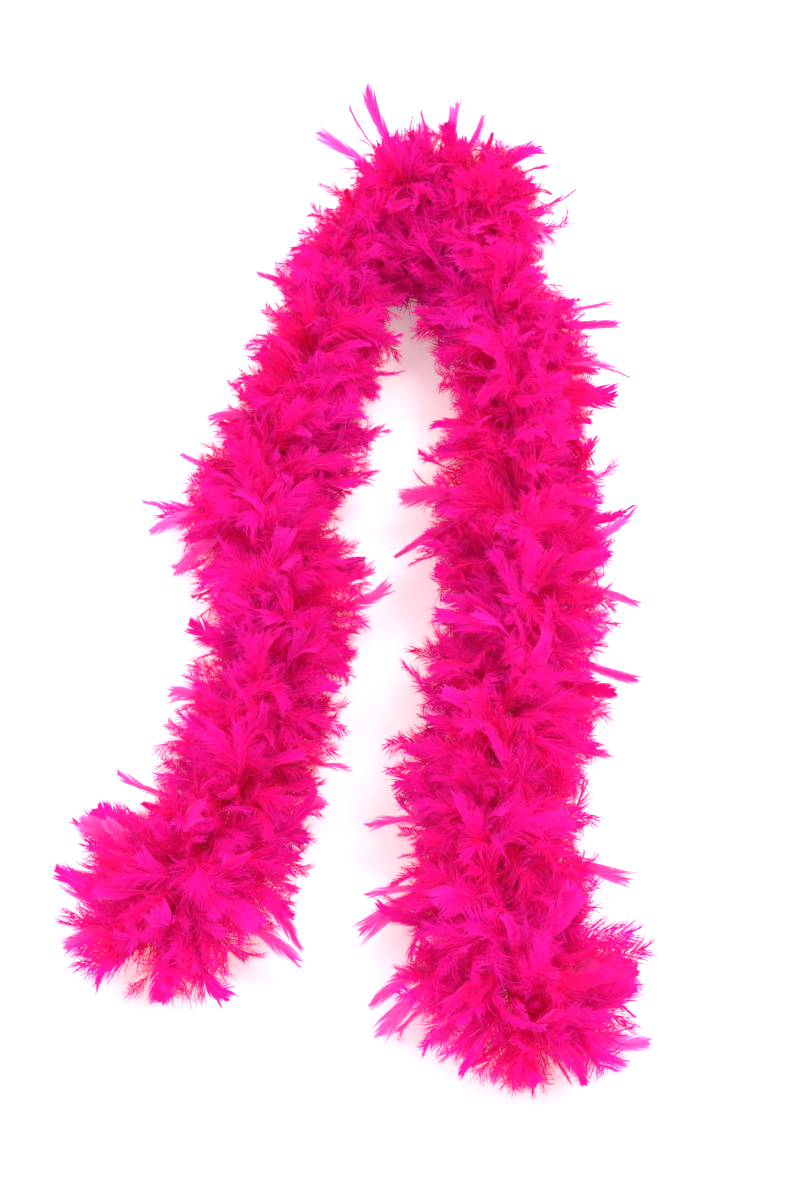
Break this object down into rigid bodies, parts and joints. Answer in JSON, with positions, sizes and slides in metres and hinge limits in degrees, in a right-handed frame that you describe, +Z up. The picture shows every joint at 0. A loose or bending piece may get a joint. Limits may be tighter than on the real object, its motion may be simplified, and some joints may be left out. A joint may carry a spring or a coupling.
{
  "type": "feather boa",
  "caption": "Fluffy feather boa laid in a hairpin: tufts of dyed feathers bound along a twisted cord that sways, lifts and twists",
  "frame": {"origin": "On the floor under the middle of the bounding box of the boa as it lies", "axes": "+Y runs from the free ends to the nape, the longest way; +X across the two legs; +Z up"},
  "size_m": [0.5051, 1.026, 0.1354],
  "materials": {
    "feather": "soft dyed feather",
    "core_cord": "matt twisted cord",
    "thread": "satin wound thread"
  },
  "bodies": {
    "nape": {"core_cord_nape": "core_cord", "feather_tuft_nape_a": "feather", "feather_tuft_nape_b": "feather", "feather_tuft_nape_c": "feather", "thread_binding_nape": "thread"},
    "left_1": {"core_cord_left_1": "core_cord", "feather_tuft_left_1_a": "feather", "feather_tuft_left_1_b": "feather", "thread_binding_left_1": "thread"},
    "left_2": {"core_cord_left_2": "core_cord", "feather_tuft_left_2_a": "feather", "feather_tuft_left_2_b": "feather", "thread_binding_left_2": "thread"},
    "left_3": {"core_cord_left_3": "core_cord", "feather_tuft_left_3_a": "feather", "feather_tuft_left_3_b": "feather", "thread_binding_left_3": "thread"},
    "left_4": {"core_cord_left_4": "core_cord", "feather_tuft_left_4_a": "feather", "feather_tuft_left_4_b": "feather", "thread_binding_left_4": "thread"},
    "left_5": {"core_cord_left_5": "core_cord", "feather_tuft_left_5_a": "feather", "feather_tuft_left_5_b": "feather", "thread_binding_left_5": "thread"},
    "left_6": {"core_cord_left_6": "core_cord", "feather_tuft_left_6_a": "feather", "feather_tuft_left_6_b": "feather", "thread_binding_left_6": "thread", "end_whipping_left": "thread"},
    "right_1": {"core_cord_right_1": "core_cord", "feather_tuft_right_1_a": "feather", "feather_tuft_right_1_b": "feather", "thread_binding_right_1": "thread"},
    "right_2": {"core_cord_right_2": "core_cord", "feather_tuft_right_2_a": "feather", "feather_tuft_right_2_b": "feather", "thread_binding_right_2": "thread"},
    "right_3": {"core_cord_right_3": "core_cord", "feather_tuft_right_3_a": "feather", "feather_tuft_right_3_b": "feather", "thread_binding_right_3": "thread"},
    "right_4": {"core_cord_right_4": "core_cord", "feather_tuft_right_4_a": "feather", "feather_tuft_right_4_b": "feather", "thread_binding_right_4": "thread"},
    "right_5": {"core_cord_right_5": "core_cord", "feather_tuft_right_5_a": "feather", "feather_tuft_right_5_b": "feather", "thread_binding_right_5": "thread"},
    "right_6": {"core_cord_right_6": "core_cord", "feather_tuft_right_6_a": "feather", "feather_tuft_right_6_b": "feather", "thread_binding_right_6": "thread", "end_whipping_right": "thread"}
  },
  "joints": [
    {"name": "left_nape_open", "type": "hinge", "parent": "nape", "child": "left_1", "pos_m": [0.0162, 0.3853, 0.05], "axis": [0, 0, -1], "range_deg": [0, 30]},
    {"name": "left_shoulder_lift", "type": "hinge", "parent": "left_1", "child": "left_2", "pos_m": [-0.0353, 0.2674, 0.05], "axis": [-0.9904, 0.1381, 0], "range_deg": [-12, 12]},
    {"name": "left_upper_sway", "type": "hinge", "parent": "left_2", "child": "left_3", "pos_m": [-0.0646, 0.1361, 0.05], "axis": [0, 0, -1], "range_deg": [-8, 25]},
    {"name": "left_middle_lift", "type": "hinge", "parent": "left_3", "child": "left_4", "pos_m": [-0.0924, 0.0053, 0.05], "axis": [0.9899, 0.142, 0], "range_deg": [-20, 20]},
    {"name": "left_lower_sway", "type": "hinge", "parent": "left_4", "child": "left_5", "pos_m": [-0.0712, -0.1257, 0.05], "axis": [0, 0, 1], "range_deg": [-25, 15]},
    {"name": "left_tip_twist", "type": "hinge", "parent": "left_5", "child": "left_6", "pos_m": [-0.109, -0.2553, 0.05], "axis": [-0.2449, -0.9696, 0], "range_deg": [-35, 35]},
    {"name": "right_nape_open", "type": "hinge", "parent": "nape", "child": "right_1", "pos_m": [0.1218, 0.3911, 0.05], "axis": [0, 0, 1], "range_deg": [0, 30]},
    {"name": "right_shoulder_lift", "type": "hinge", "parent": "right_1", "child": "right_2", "pos_m": [0.138, 0.2528, 0.05], "axis": [-0.9931, -0.117, 0], "range_deg": [-12, 12]},
    {"name": "right_upper_sway", "type": "hinge", "parent": "right_2", "child": "right_3", "pos_m": [0.1423, 0.1089, 0.05], "axis": [0, 0, 1], "range_deg": [-8, 25]},
    {"name": "right_middle_lift", "type": "hinge", "parent": "right_3", "child": "right_4", "pos_m": [0.1421, -0.0355, 0.05], "axis": [0.9968, 0.08, 0], "range_deg": [-20, 20]},
    {"name": "right_lower_sway", "type": "hinge", "parent": "right_4", "child": "right_5", "pos_m": [0.1253, -0.1791, 0.05], "axis": [0, 0, -1], "range_deg": [-25, 15]},
    {"name": "right_tip_twist", "type": "hinge", "parent": "right_5", "child": "right_6", "pos_m": [0.1088, -0.328, 0.05], "axis": [-0.071, -0.9975, 0], "range_deg": [-35, 35]}
  ]
}
